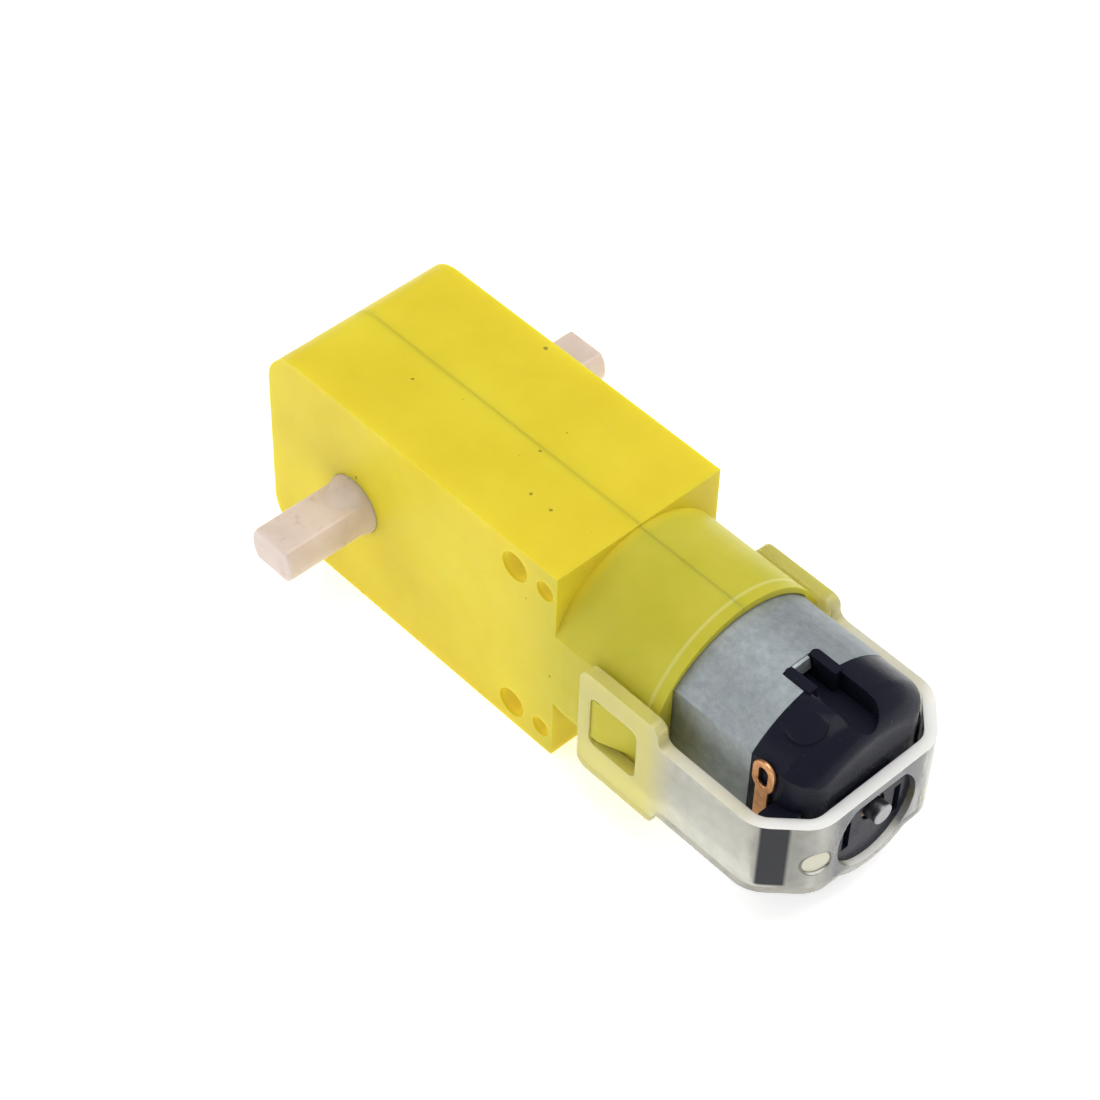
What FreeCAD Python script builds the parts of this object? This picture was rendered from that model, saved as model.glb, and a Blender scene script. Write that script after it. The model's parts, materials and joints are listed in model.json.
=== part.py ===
"""Geared DC motor: a two-shaft spur gearbox in a moulded housing, driven by a flat-sided can motor.

Frame: the origin is on the output shaft's axis, half way between the gearbox's sides. +X runs along
the motor, away from the output shaft, +Y is the output shaft's axis and +Z is up. Sizes are in mm.
The train is 48 to 1: motor pinion 8, crown wheel 32 + 16, second gear 32 + 16, third gear 32 + 12,
output gear 36. The crown wheel and the third gear share one steel pin, the second gear runs free on
the output shaft.
"""
import FreeCAD, Part
import math
import os
import re
import Sketcher

SIZES = {
    # gearbox housing
    "house_back": 11.3,         # back face, behind the output shaft's axis
    "house_front": 25.7,        # front face of the box
    "house_wide": 18.8,
    "house_high": 22.5,
    "back_round": 4.0,
    "wall": 1.5,
    "collar_end": 37.7,         # mouth of the collar that holds the motor
    "collar_crown": 11.0,       # height of the collar's round top above the axis
    "collar_edge": 4.3,         # height of its flat side's upper edge
    "collar_arc": 9.94,         # radius of the round top
    "bay_radius": 10.2,
    "bay_flat": 7.7,
    "bulkhead_start": 25.3,
    "bulkhead_hole": 3.15,
    "mount_along": 20.65,       # mounting holes, from the output shaft
    "mount_up": 8.75,           # mounting holes, above and below the axis
    "mount_hole": 1.5,
    "mount_tube": 2.6,
    "dowel_along": 24.3,
    "dowel_hole": 1.0,
    "dowel_pin": 0.95,
    "dowel_tube": 1.7,
    "dowel_reach": 6.0,
    "screw_along": 8.2,         # screws, behind the output shaft
    "screw_up": 8.3,
    "screw_tube": 1.9,
    "screw_shank": 1.0,
    "screw_free": 1.15,
    "screw_head": 1.75,
    "screw_head_high": 1.3,
    "screw_seat": 8.0,          # counterbore's floor, from the parting plane
    "screw_tip": 5.5,
    "recess_long": 1.05,        # crossed recess: half its length
    "recess_half": 0.18,        # and half its width
    "recess_deep": 0.7,
    "tab_centre": 13.8,
    "tab_radius": 2.5,
    "tab_half": 1.3,
    "tab_hole": 1.5,
    "peg_along": 11.0,
    "peg_radius": 2.0,
    "peg_high": 2.0,
    "hook_start": 31.5,
    "hook_crest": 32.3,
    "hook_end": 35.6,
    "hook_half": 2.4,
    "hook_out": 10.6,
    # output shaft and gear train
    "shaft_half": 18.8,
    "shaft_radius": 2.7,
    "shaft_flat": 1.85,         # half the distance across the flats
    "journal_radius": 2.95,
    "journal_end": 9.7,
    "shaft_taper_end": 12.6,    # where the round journal has run out into the flats
    "shaft_edge": 0.35,
    "running": 0.05,            # radial play of every turning fit
    "pin_along": 12.0,          # gear pin, from the output shaft
    "pin_radius": 0.95,
    "pin_half": 8.9,
    "module_size": 0.5,
    "tooth_thinning": 0.09,     # taken off each tooth's thickness at the pitch circle
    "output_low": -7.5,
    "output_high": -5.2,
    "third_low": -7.6,
    "third_step": -4.7,
    "third_high": -2.8,
    "second_low": -4.8,
    "second_step": -1.1,
    "second_high": 0.9,
    "second_hub": 3.15,
    "second_top": 4.4,
    "crown_low": -2.6,
    "crown_pinion_low": -1.3,
    "crown_disc_low": 2.6,
    "crown_disc_high": 4.2,
    "crown_top": 7.6,
    "crown_disc": 8.75,
    "crown_teeth_in": 7.3,
    "crown_teeth_out": 8.7,
    "crown_hub": 2.2,
    "crown_pitch_plane": 2.0,   # from the motor shaft's axis
    "crown_tooth_reach": 0.36,  # how far its teeth stand past that plane
    "pinion_start": 18.5,
    "pinion_end": 22.5,
    # motor
    "can_front": 27.1,
    "can_back": 46.4,
    "can_radius": 10.05,
    "can_flat": 7.55,
    "can_sheet": 0.8,
    "boss_front": 25.6,
    "boss_radius": 3.075,
    "bush_radius": 2.2,
    "bush_lip": 0.25,
    "bush_mouth": 1.5,
    "front_bush_end": 28.1,
    "slit_start": 44.0,
    "slit_near": 1.0,
    "slit_far": 1.95,
    "tongue_half": 0.9,
    "tongue_top": 9.9,
    "tongue_under": 9.45,
    "tongue_bend": 44.1,
    "tongue_tip": 44.6,
    "tongue_tip_low": 8.6,
    "tongue_thick": 0.45,
    "rib_out": 10.1,            # black ribs that fill the slits
    "rib_end": 47.0,
    "cap_radius": 10.0,
    "cap_flat": 7.5,
    "cap_end": 52.4,
    "cap_round": 2.8,
    "cap_hollow": 7.4,
    "cap_hollow_flat": 5.9,
    "cap_floor": 51.2,
    "spigot_start": 44.2,
    "spigot_radius": 9.2,
    "spigot_flat": 6.7,
    "groove_half": 1.7,
    "groove_end": 52.2,
    "groove_floor": 7.8,
    "pad_along": 48.6,          # round pad on the shoulder, raised a little
    "pad_turn": 22.5,           # its angle from the top, degrees
    "pad_radius": 1.8,
    "pad_top": 10.3,
    "fin_start": 49.15,         # upright fin that the strap's corner rests on
    "fin_corner": 49.6,
    "fin_end": 51.5,
    "fin_out": 9.25,
    "fin_low": -4.6,
    "fin_high": 3.0,
    "rear_boss": 4.5,           # radius of the boss's round lower part
    "rear_boss_drop": 1.3,      # and how far its centre lies below the motor's axis
    "rear_boss_end": 53.4,
    "rear_boss_flat": 2.2,      # height of the flat along the boss's top
    "rear_mouth": 1.35,
    "rear_bush": 1.9,
    "rear_bush_end": 53.0,
    "slot_off": 2.95,
    "slot_half": 0.4,
    "slot_low": -3.1,
    "slot_top": 0.2,
    "slot_deep": 1.2,
    "motor_shaft_radius": 1.0,
    "motor_shaft_start": 17.7,
    "motor_shaft_end": 54.6,
    "magnet_inner": 6.6,
    "magnet_start": 29.5,
    "magnet_end": 43.0,
    "magnet_gap": 2.6,
    "spring_wire": 0.35,
    "spring_off": 6.2,
    "core_start": 31.5,
    "core_end": 40.5,
    "core_radius": 6.1,
    "core_hub": 2.3,
    "core_shoe": 4.9,
    "core_neck": 1.1,
    "core_slot": 0.7,
    "coil_half": 2.6,
    "coil_low": 2.4,
    "coil_high": 4.0,
    "coil_over": 1.2,
    "sleeve_radius": 1.7,
    "sleeve_start": 43.8,
    "sleeve_end": 49.2,
    "commutator_radius": 2.4,
    "commutator_start": 44.2,
    "commutator_end": 49.0,
    "segment_gap": 0.2,
    "washer_gap": 0.35,
    "washer_thick": 0.6,
    "brush_start": 47.4,
    "brush_end": 48.8,
    "brush_half": 1.0,
    "brush_play": 0.05,
    "arm_inner": 3.3,
    "arm_thick": 0.3,
    "arm_low": 1.3,
    "arm_level": 2.6,
    "foot_inner": 5.5,
    "terminal_start": 47.4,
    "terminal_end": 48.8,
    "terminal_low": -1.0,
    "terminal_eye": 6.05,       # the eye is long: its upper centre
    "terminal_eye_low": 4.95,   # and its lower one
    "terminal_droop": 1.2,      # the right terminal stands this much lower
    "terminal_eye_radius": 1.15,
    "terminal_hole": 0.5,
    "terminal_inner": 7.6,
    "terminal_thick": 0.35,
    # retaining strap
    "strap_start": 30.1,
    "strap_frame_end": 39.2,
    "strap_frame_low": -6.8,
    "strap_frame_top": 5.3,
    "strap_low": -5.3,
    "strap_top": 3.2,
    "strap_inner": 9.55,
    "strap_thick": 1.2,
    "strap_plate": 52.8,
    "strap_corner_in": 3.2,     # the corners are cut off at 45 degrees
    "strap_corner_out": 4.0,
    "strap_bend_in": 1.8,
    "strap_bend_out": 3.5,
    "strap_bulge": 6.6,
    "strap_hole": 4.6,
    "strap_hole_top": 2.3,
    "strap_mark": 1.35,         # round mould mark on one bend
    "strap_mark_deep": 0.28,
    "strap_mark_up": -1.5,
    "frame_round": 1.2,
    "frame_step_top": 1.0,
    "frame_step_low": 0.7,
    "window_start": 31.4,
    "window_end": 36.9,
    "window_low": -3.0,
    "window_top": 2.8,
    "window_round": 0.8,
}
TEETH = {"motor_pinion": 8, "crown_wheel": 32, "crown_pinion": 16, "second_wheel": 32,
         "second_pinion": 16, "third_wheel": 32, "third_pinion": 12, "output_wheel": 36}
PRESSURE_ANGLE = math.radians(20)
MARGIN = "1"                    # how far a cutting tool runs past what it cuts
LEVELS = (("Top", ""), ("Low", "-"))
BITE = "0.2"                    # how far a joined shape runs into the one it is joined to

doc = FreeCAD.newDocument("geared_motor")
sheet = doc.addObject("Spreadsheet::Sheet", "Sizes")
for row, (alias, number) in enumerate(SIZES.items(), start=1):
    sheet.set(f"A{row}", alias)
    sheet.set(f"B{row}", str(number))
    sheet.setAlias(f"B{row}", alias)
doc.recompute()


# ---------------------------------------------------------------- small tools

def bound(text):
    """Point every size named in an expression at the sheet."""
    def pointed(word):
        return "Sizes." + word.group() if word.group() in SIZES else word.group()

    return re.sub(r"[a-z_]+", pointed, text)


def number(text):
    """The present value of an expression."""
    return float(sheet.evalExpression(bound(text)))


def place(part, x="0", y="0", z="0"):
    """Bind a part's position to expressions."""
    for axis, text in zip("xyz", (x, y, z)):
        part.setExpression("Placement.Base." + axis, bound(text))
    return part


def box(name, x, y, z):
    """A box between two expressions on each axis."""
    part = doc.addObject("Part::Box", name)
    for side, (low, high) in zip(("Length", "Width", "Height"), (x, y, z)):
        part.setExpression(side, bound(f"({high}) - ({low})"))
    return place(part, x[0], y[0], z[0])


def rod(name, axis, radius, span, at=("0", "0")):
    """A round bar along an axis, from span[0] to span[1]; at gives its other two coordinates."""
    part = doc.addObject("Part::Cylinder", name)
    part.setExpression("Radius", bound(radius))
    part.setExpression("Height", bound(f"({span[1]}) - ({span[0]})"))
    turns = {"X": FreeCAD.Rotation(FreeCAD.Vector(0, 1, 0), 90),
             "Y": FreeCAD.Rotation(FreeCAD.Vector(1, 0, 0), -90),
             "Z": FreeCAD.Rotation()}
    part.Placement = FreeCAD.Placement(FreeCAD.Vector(), turns[axis])
    spots = {"X": (span[0], at[0], at[1]), "Y": (at[0], span[0], at[1]), "Z": (at[0], at[1], span[0])}
    return place(part, *spots[axis])


def fuse(name, *parts):
    joined = doc.addObject("Part::MultiFuse", name)
    joined.Shapes = list(parts)
    return joined


def common(name, *parts):
    shared = doc.addObject("Part::MultiCommon", name)
    shared.Shapes = list(parts)
    return shared


def cut(name, base, *tools):
    """Base with every tool taken away."""
    left = doc.addObject("Part::Cut", name)
    left.Base = base
    left.Tool = tools[0] if len(tools) == 1 else fuse(name + "_tools", *tools)
    return left


def flat_sided(name, radius, flat, span):
    """A round bar along X with two flat sides facing +Y and -Y."""
    return common(name, rod(name + "_round", "X", radius, span),
                  box(name + "_flats", span, (f"-({flat})", flat), (f"-({radius})", radius)))


def tube(name, axis, outer, inner, span, at=("0", "0")):
    """A round bar with a hole right through it."""
    through = (f"({span[0]}) - {MARGIN}", f"({span[1]}) + {MARGIN}")
    return cut(name, rod(name + "_outer", axis, outer, span, at),
               rod(name + "_inner", axis, inner, through, at))


def rounded(name, base, radius, wanted):
    """Round the edges of base that wanted(edge) picks."""
    doc.recompute()
    size = number(radius)
    fillet = doc.addObject("Part::Fillet", name)
    fillet.Base = base
    fillet.Edges = [(index, size, size)
                    for index, edge in enumerate(base.Shape.Edges, start=1) if wanted(edge)]
    return fillet


def origin_plane(body, role):
    return next(feature for feature in body.Origin.OriginFeatures if feature.Role == role)


def padded(name, role, corners, length):
    """A body padded both ways from an origin plane; each corner is bound to two expressions."""
    body = doc.addObject("PartDesign::Body", name)
    sketch = body.newObject("Sketcher::SketchObject", name + "_outline")
    sketch.AttachmentSupport = [(origin_plane(body, role), "")]
    sketch.MapMode = "FlatFace"
    points = [FreeCAD.Vector(number(u), number(v), 0) for u, v in corners]
    for start, end in zip(points, points[1:] + points[:1]):
        sketch.addGeometry(Part.LineSegment(start, end), False)
    for line in range(len(corners)):
        sketch.addConstraint(Sketcher.Constraint("Coincident", line, 2, (line + 1) % len(corners), 1))
    for line, corner in enumerate(corners):
        for kind, text in zip(("DistanceX", "DistanceY"), corner):
            index = sketch.addConstraint(Sketcher.Constraint(kind, -1, 1, line, 1, number(text)))
            sketch.setExpression(f"Constraints[{index}]", bound(text))
    pad = body.newObject("PartDesign::Pad", name + "_pad")
    pad.Profile = sketch
    pad.Midplane = True
    pad.setExpression("Length", bound(length))
    doc.recompute()
    return body


def round_body(body, radius, wanted):
    """Add a fillet to a body, on the edges of its tip that wanted(edge) picks."""
    tip = body.Tip
    fillet = body.newObject("PartDesign::Fillet", body.Name + "_round" + str(len(body.Group)))
    fillet.Base = (tip, [f"Edge{i}" for i, edge in enumerate(tip.Shape.Edges, start=1) if wanted(edge)])
    fillet.setExpression("Radius", bound(radius))
    doc.recompute()
    return body


def runs_along(edge, axis):
    """True for a straight edge parallel to an axis."""
    if not isinstance(edge.Curve, (Part.Line, Part.LineSegment)):
        return False
    step = edge.Vertexes[-1].Point - edge.Vertexes[0].Point
    return abs(abs(step.normalize()["XYZ".index(axis)]) - 1) < 1e-6


def named(part, label):
    """Give a finished sub-part the label that names its file."""
    part.Label = label
    finished.append(part)
    return part


finished = []


# ---------------------------------------------------------------- housing

def both(text):
    """A span that is the same on both sides of the middle."""
    return (f"-({text})", text)


def housing():
    """The gearbox housing as two halves that part on the plane y = 0."""
    block = padded("Block", "XZ_Plane",
                   [("-house_back", "-house_high / 2"), ("house_front", "-house_high / 2"),
                    ("house_front", "house_high / 2"), ("-house_back", "house_high / 2")], "house_wide")
    back = -number("house_back")
    round_body(block, "back_round",
               lambda edge: runs_along(edge, "Y") and abs(edge.Vertexes[0].X - back) < 1e-6)
    side = both("house_wide / 2")
    length = ("house_front - wall", "collar_end")
    centre = "collar_crown - collar_arc"
    crown = [common(f"Crown{level}",
                    rod(f"CrownRound{level}", "X", "collar_arc", length, ("0", f"{up}({centre})")),
                    box(f"CrownSides{level}", length, side, both("collar_crown")))
             for level, up in LEVELS]
    collar = fuse("Collar", box("CollarSides", length, side, both("collar_edge")), *crown)
    tab = fuse("Tab", rod("TabRound", "Y", "tab_radius", both("tab_half"), ("-tab_centre", "0")),
               box("TabNeck", ("-tab_centre", "-house_back + wall / 2"), both("tab_half"),
                   both("tab_radius")))
    peg = rod("Peg", "Y", "peg_radius", ("house_wide / 2 - wall / 2", "house_wide / 2 + peg_high"),
              ("peg_along", "0"))
    hooks = [padded(f"Hook{side_name}", "XY_Plane",
                    [("hook_start", sign + "(house_wide / 2 - wall / 2)"),
                     ("hook_start", sign + "hook_out"),
                     ("hook_crest", sign + "hook_out"), ("hook_end", sign + "house_wide / 2"),
                     ("hook_end", sign + "(house_wide / 2 - wall / 2)")], "2 * hook_half")
             for side_name, sign in (("Right", "1 * "), ("Left", "-1 * "))]
    outside = fuse("Outside", block, collar, tab, peg, *hooks)

    cavity = box("Cavity", ("-house_back + wall", "bulkhead_start"), both("house_wide / 2 - wall"),
                 both("house_high / 2 - wall"))
    bay = flat_sided("Bay", "bay_radius", "bay_flat", ("can_front", f"collar_end + {MARGIN}"))
    eye = rod("BulkheadEye", "X", "bulkhead_hole", (f"bulkhead_start - {MARGIN}", f"can_front + {MARGIN}"))
    shell = cut("Shell", outside, cavity, bay, eye)

    inside = both("house_wide / 2 - wall / 2")
    pillars = [rod("ShaftBoss", "Y", "journal_radius + wall", (f"crown_disc_high + 2 * {BITE}", inside[1]))]
    holes = [rod("PinHole", "Y", "pin_radius", both("pin_half"), ("pin_along", "0")),
             rod("TabHole", "Y", "tab_hole", both(f"tab_half + {MARGIN}"), ("-tab_centre", "0")),
             rod("LeftJournal", "Y", "journal_radius + running", (f"-(house_wide / 2 + {MARGIN})", "0")),
             rod("RightJournal", "Y", "shaft_radius + running", ("0", f"house_wide / 2 + {MARGIN}"))]
    for level, up in LEVELS:
        pillars += [rod(f"MountTube{level}", "Y", "mount_tube", inside, ("mount_along", up + "mount_up")),
                    rod(f"DowelTube{level}", "Y", "dowel_tube", inside, ("dowel_along", up + "mount_up")),
                    rod(f"ScrewTube{level}", "Y", "screw_tube", inside, ("-screw_along", up + "screw_up"))]
        holes += [rod(f"MountHole{level}", "Y", "mount_hole", both(f"house_wide / 2 + {MARGIN}"),
                      ("mount_along", up + "mount_up"))]
    ribs = common("Ribs", fuse("Pillars", *pillars), outside)
    whole = cut("Whole", fuse("Ribbed", shell, ribs), *holes)

    reach = f"house_wide / 2 + peg_high + {MARGIN}"
    around = (f"-(tab_centre + tab_radius + {MARGIN})", f"collar_end + {MARGIN}")
    high = both("house_high")
    left_side = common("LeftSide", whole, box("LeftSpace", around, (f"-({reach})", "0"), high))
    right_side = common("RightSide", whole, box("RightSpace", around, ("0", reach), high))
    left_holes, right_holes, dowels = [], [], []
    for level, up in LEVELS:
        screw = ("-screw_along", up + "screw_up")
        dowel = ("dowel_along", up + "mount_up")
        left_end, right_end = both(f"house_wide / 2 + {MARGIN}")
        left_holes += [rod(f"Pilot{level}", "Y", "screw_shank", ("-screw_tip", MARGIN), screw),
                       rod(f"DowelHole{level}", "Y", "dowel_hole", (left_end, MARGIN), dowel)]
        right_holes += [rod(f"Clearance{level}", "Y", "screw_free", (f"-{MARGIN}", "screw_seat"), screw),
                        rod(f"Counterbore{level}", "Y", "screw_tube", ("screw_seat", right_end), screw)]
        dowels += [rod(f"Dowel{level}", "Y", "dowel_pin", ("-dowel_reach", "wall"), dowel)]
    named(cut("LeftHalf", left_side, *left_holes), "housing_left")
    named(fuse("RightHalf", cut("RightDrilled", right_side, *right_holes), *dowels), "housing_right")


def housing_screws():
    """Two self-tapping screws with crossed recesses, put in from the +Y side."""
    screws = []
    for level, up in LEVELS:
        at = ("-screw_along", up + "screw_up")
        head_top = "screw_seat + screw_head_high"
        head = rod(f"Head{level}", "Y", "screw_head", ("screw_seat", head_top), at)
        shank = rod(f"Shank{level}", "Y", "screw_shank", ("-screw_tip", "screw_seat"), at)
        bars = [box(f"Slot{level}{name}", (f"{at[0]} - {wide}", f"{at[0]} + {wide}"),
                    (f"{head_top} - recess_deep", f"{head_top} + {MARGIN}"),
                    (f"{at[1]} - {high}", f"{at[1]} + {high}"))
                for name, wide, high in (("Across", "recess_long", "recess_half"),
                                         ("Up", "recess_half", "recess_long"))]
        screws.append(cut(f"Screw{level}", fuse(f"ScrewBlank{level}", head, shank), *bars))
    named(fuse("Screws", *screws), "housing_screws")


# ---------------------------------------------------------------- gears

def roll(radius, base):
    """The involute function at a radius."""
    angle = math.acos(min(1.0, base / radius))
    return math.tan(angle) - angle


def gear_face(teeth, tip_share=1.0, turn=0.0):
    """A spur gear's outline as a flat face in the XY plane, with one tooth centred on turn."""
    module = number("module_size")
    pitch = module * teeth / 2
    base = pitch * math.cos(PRESSURE_ANGLE)
    root, tip = pitch - 1.25 * module, pitch + tip_share * module
    half = (math.pi * module / 2 - number("tooth_thinning")) / (2 * pitch) + roll(pitch, base)
    start = max(base, root)
    radii = [start + (tip - start) * step / 4 for step in range(5)]
    flank = [(radius, half - roll(radius, base)) for radius in radii]
    if base > root:                 # the flank under the base circle is cut back, as a hob leaves it
        flank.insert(0, (root, 0.8 * flank[0][1]))
    points = []
    for tooth in range(teeth):
        middle = turn + 2 * math.pi * tooth / teeth
        side = [(radius, middle - angle) for radius, angle in flank]
        side += [(radius, middle + angle) for radius, angle in reversed(flank)]
        points += [FreeCAD.Vector(r * math.cos(a), r * math.sin(a), 0) for r, a in side]
    return Part.Face(Part.makePolygon(points + points[:1]))


def toothed(teeth, low, high, tip_share=1.0, gap_first=False):
    """A spur gear along Z, with a tooth or a gap centred on +X."""
    turn = math.pi / teeth if gap_first else 0.0
    face = gear_face(teeth, tip_share, turn)
    face.translate(FreeCAD.Vector(0, 0, low))
    return face.extrude(FreeCAD.Vector(0, 0, high - low))


def crown_ring():
    """The crown wheel's radial teeth, which point down the wheel's own -Z, with a gap on +X."""
    inner, outer = number("crown_teeth_in"), number("crown_teeth_out")
    plane, disc = number("crown_pitch_plane"), number("crown_disc_low")
    tip, slope = plane - number("crown_tooth_reach"), math.tan(PRESSURE_ANGLE)
    half = math.pi * number("module_size") / 4 - number("tooth_thinning")
    at_tip, at_root = half - (plane - tip) * slope, half + (disc - plane) * slope
    overlap = float(BITE)
    outline = [(-at_root, disc + overlap), (-at_root, disc), (-at_tip, tip), (at_tip, tip), (at_root, disc),
               (at_root, disc + overlap)]
    points = [FreeCAD.Vector(inner, y, z) for y, z in outline]
    tooth = Part.Face(Part.makePolygon(points + points[:1])).extrude(FreeCAD.Vector(outer - inner, 0, 0))
    teeth = []
    for index in range(TEETH["crown_wheel"]):
        copy = tooth.copy()
        copy.rotate(FreeCAD.Vector(), FreeCAD.Vector(0, 0, 1), 360 * (index + 0.5) / TEETH["crown_wheel"])
        teeth.append(copy)
    return teeth


def bar(radius, low, high):
    return Part.makeCylinder(radius, high - low, FreeCAD.Vector(0, 0, low))


def gear_part(shape, label, axis, at):
    """Stand a gear made along Z on its own axis and name it."""
    part = doc.addObject("Part::Feature", label.title().replace("_", ""))
    part.Shape = shape.removeSplitter()
    if axis == "Y":
        turn = FreeCAD.Rotation(FreeCAD.Vector(1, 0, 0), -90)
    else:                           # along X, with the tooth on local +X turned to +Y
        turn = FreeCAD.Rotation(FreeCAD.Vector(0, 1, 0), FreeCAD.Vector(0, 0, 1),
                                FreeCAD.Vector(1, 0, 0), "ZXY")
    part.Placement = FreeCAD.Placement(FreeCAD.Vector(at, 0, 0), turn)
    return named(part, label)


def gear_train():
    """Four plastic gears and the motor's pinion, each in mesh at rest."""
    size = number
    play = size("running")
    on_pin = size("pin_radius") + play
    on_shaft = size("shaft_radius") + play
    wheel_tip = 0.8                 # addendum of the big wheels, in modules

    wheel = toothed(TEETH["output_wheel"], size("output_low"), size("output_high"), wheel_tip, True)
    flats = Part.makeBox(20, 2 * size("shaft_flat"), 20, FreeCAD.Vector(-10, -size("shaft_flat"), -10))
    gear_part(wheel.cut(bar(size("shaft_radius"), -10, 0).common(flats)), "output_gear", "Y", 0)

    wheel = toothed(TEETH["third_wheel"], size("third_step"), size("third_high"), wheel_tip, True)
    wheel.rotate(FreeCAD.Vector(), FreeCAD.Vector(0, 0, 1), 180)
    pinion = toothed(TEETH["third_pinion"], size("third_low"), size("third_step"))
    gear_part(wheel.fuse(pinion).cut(bar(on_pin, -10, 10)), "third_gear", "Y", size("pin_along"))

    wheel = toothed(TEETH["second_wheel"], size("second_step"), size("second_high"), wheel_tip, True)
    pinion = toothed(TEETH["second_pinion"], size("second_low"), size("second_step"))
    hub = bar(size("second_hub"), size("second_high"), size("second_top"))
    gear_part(wheel.fuse([pinion, hub]).cut(bar(on_shaft, -10, 10)), "second_gear", "Y", 0)

    pinion = toothed(TEETH["crown_pinion"], size("crown_pinion_low"), size("crown_disc_low"))
    disc = bar(size("crown_disc"), size("crown_disc_low"), size("crown_disc_high"))
    hub = bar(size("crown_hub"), size("crown_low"), size("crown_top"))
    gear_part(disc.fuse([pinion, hub] + crown_ring()).cut(bar(on_pin, -10, 10)), "crown_gear", "Y",
              size("pin_along"))

    pinion = toothed(TEETH["motor_pinion"], size("pinion_start"), size("pinion_end"))
    gear_part(pinion.cut(bar(size("motor_shaft_radius"), 0, 40)), "motor_pinion", "X", 0)

    named(rod("GearPin", "Y", "pin_radius", both("pin_half"), ("pin_along", "0")), "gear_pin")


def output_shaft():
    """One shaft with a double-D end on each side and a wider journal on the -Y side."""
    length = both("shaft_half")
    flats = common("ShaftFlats", rod("ShaftRound", "Y", "shaft_radius", length),
                   box("ShaftAcross", both("journal_radius"), length, both("shaft_flat")))
    half = number("shaft_half")
    ends = rounded("ShaftEnds", flats, "shaft_edge",
                   lambda edge: all(abs(abs(vertex.Y) - half) < 1e-6 for vertex in edge.Vertexes))
    journal = rod("ShaftJournal", "Y", "journal_radius", ("-journal_end", "output_low"))
    middle = rod("ShaftMiddle", "Y", "shaft_radius", ("output_high", "journal_end"))
    tapers = []
    for side, radius, turn in (("Left", "journal_radius", 90), ("Right", "shaft_radius", -90)):
        taper = doc.addObject("Part::Cone", "Taper" + side)
        taper.setExpression("Radius1", bound(radius))
        taper.setExpression("Radius2", bound("shaft_flat"))
        taper.setExpression("Height", bound("shaft_taper_end - journal_end"))
        tilt = FreeCAD.Rotation(FreeCAD.Vector(1, 0, 0), turn)
        taper.Placement = FreeCAD.Placement(FreeCAD.Vector(), tilt)
        tapers.append(place(taper, "0", "-journal_end" if side == "Left" else "journal_end", "0"))
    named(fuse("Shaft", ends, journal, middle, *tapers), "output_shaft")


# ---------------------------------------------------------------- motor

def motor_can():
    """The steel can: a deep-drawn cup with flat sides, a bearing boss and two bent tongues."""
    outer = flat_sided("CanOuter", "can_radius", "can_flat", ("can_front", "can_back"))
    inner = flat_sided("CanInner", "can_radius - can_sheet", "can_flat - can_sheet",
                       ("can_front + can_sheet", f"can_back + {MARGIN}"))
    boss = rod("CanBoss", "X", "boss_radius", ("boss_front", "can_front + can_sheet"))
    seat = rod("CanSeat", "X", "bush_radius", ("boss_front + bush_lip", f"can_front + {MARGIN}"))
    mouth = rod("CanMouth", "X", "bush_mouth", (f"boss_front - {MARGIN}", "can_front"))
    notch_x = ("slit_start", f"can_back + {MARGIN}")
    notches, tongues = [], []
    for level, up in LEVELS:
        high = (up + "(can_flat)", up + "(can_radius + 1)")
        notches.append(box(f"Notch{level}", notch_x, both("slit_far"), tuple(sorted(high, key=number))))
        root = f"slit_start - {BITE}"
        outline = [(root, "tongue_under"), ("tongue_bend", "tongue_under"),
                   ("tongue_tip - tongue_thick", "tongue_tip_low"),
                   ("tongue_tip", f"tongue_tip_low + {BITE}"),
                   ("tongue_bend + tongue_thick / 2", "tongue_top"), (root, "tongue_top")]
        tongues.append(padded(f"Tongue{level}", "XZ_Plane", [(x, f"{up}({z})") for x, z in outline],
                              "2 * tongue_half"))
    named(fuse("Can", cut("CanCup", fuse("CanSolid", outer, boss), inner, seat, mouth, *notches), *tongues),
          "motor_can")


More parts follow.
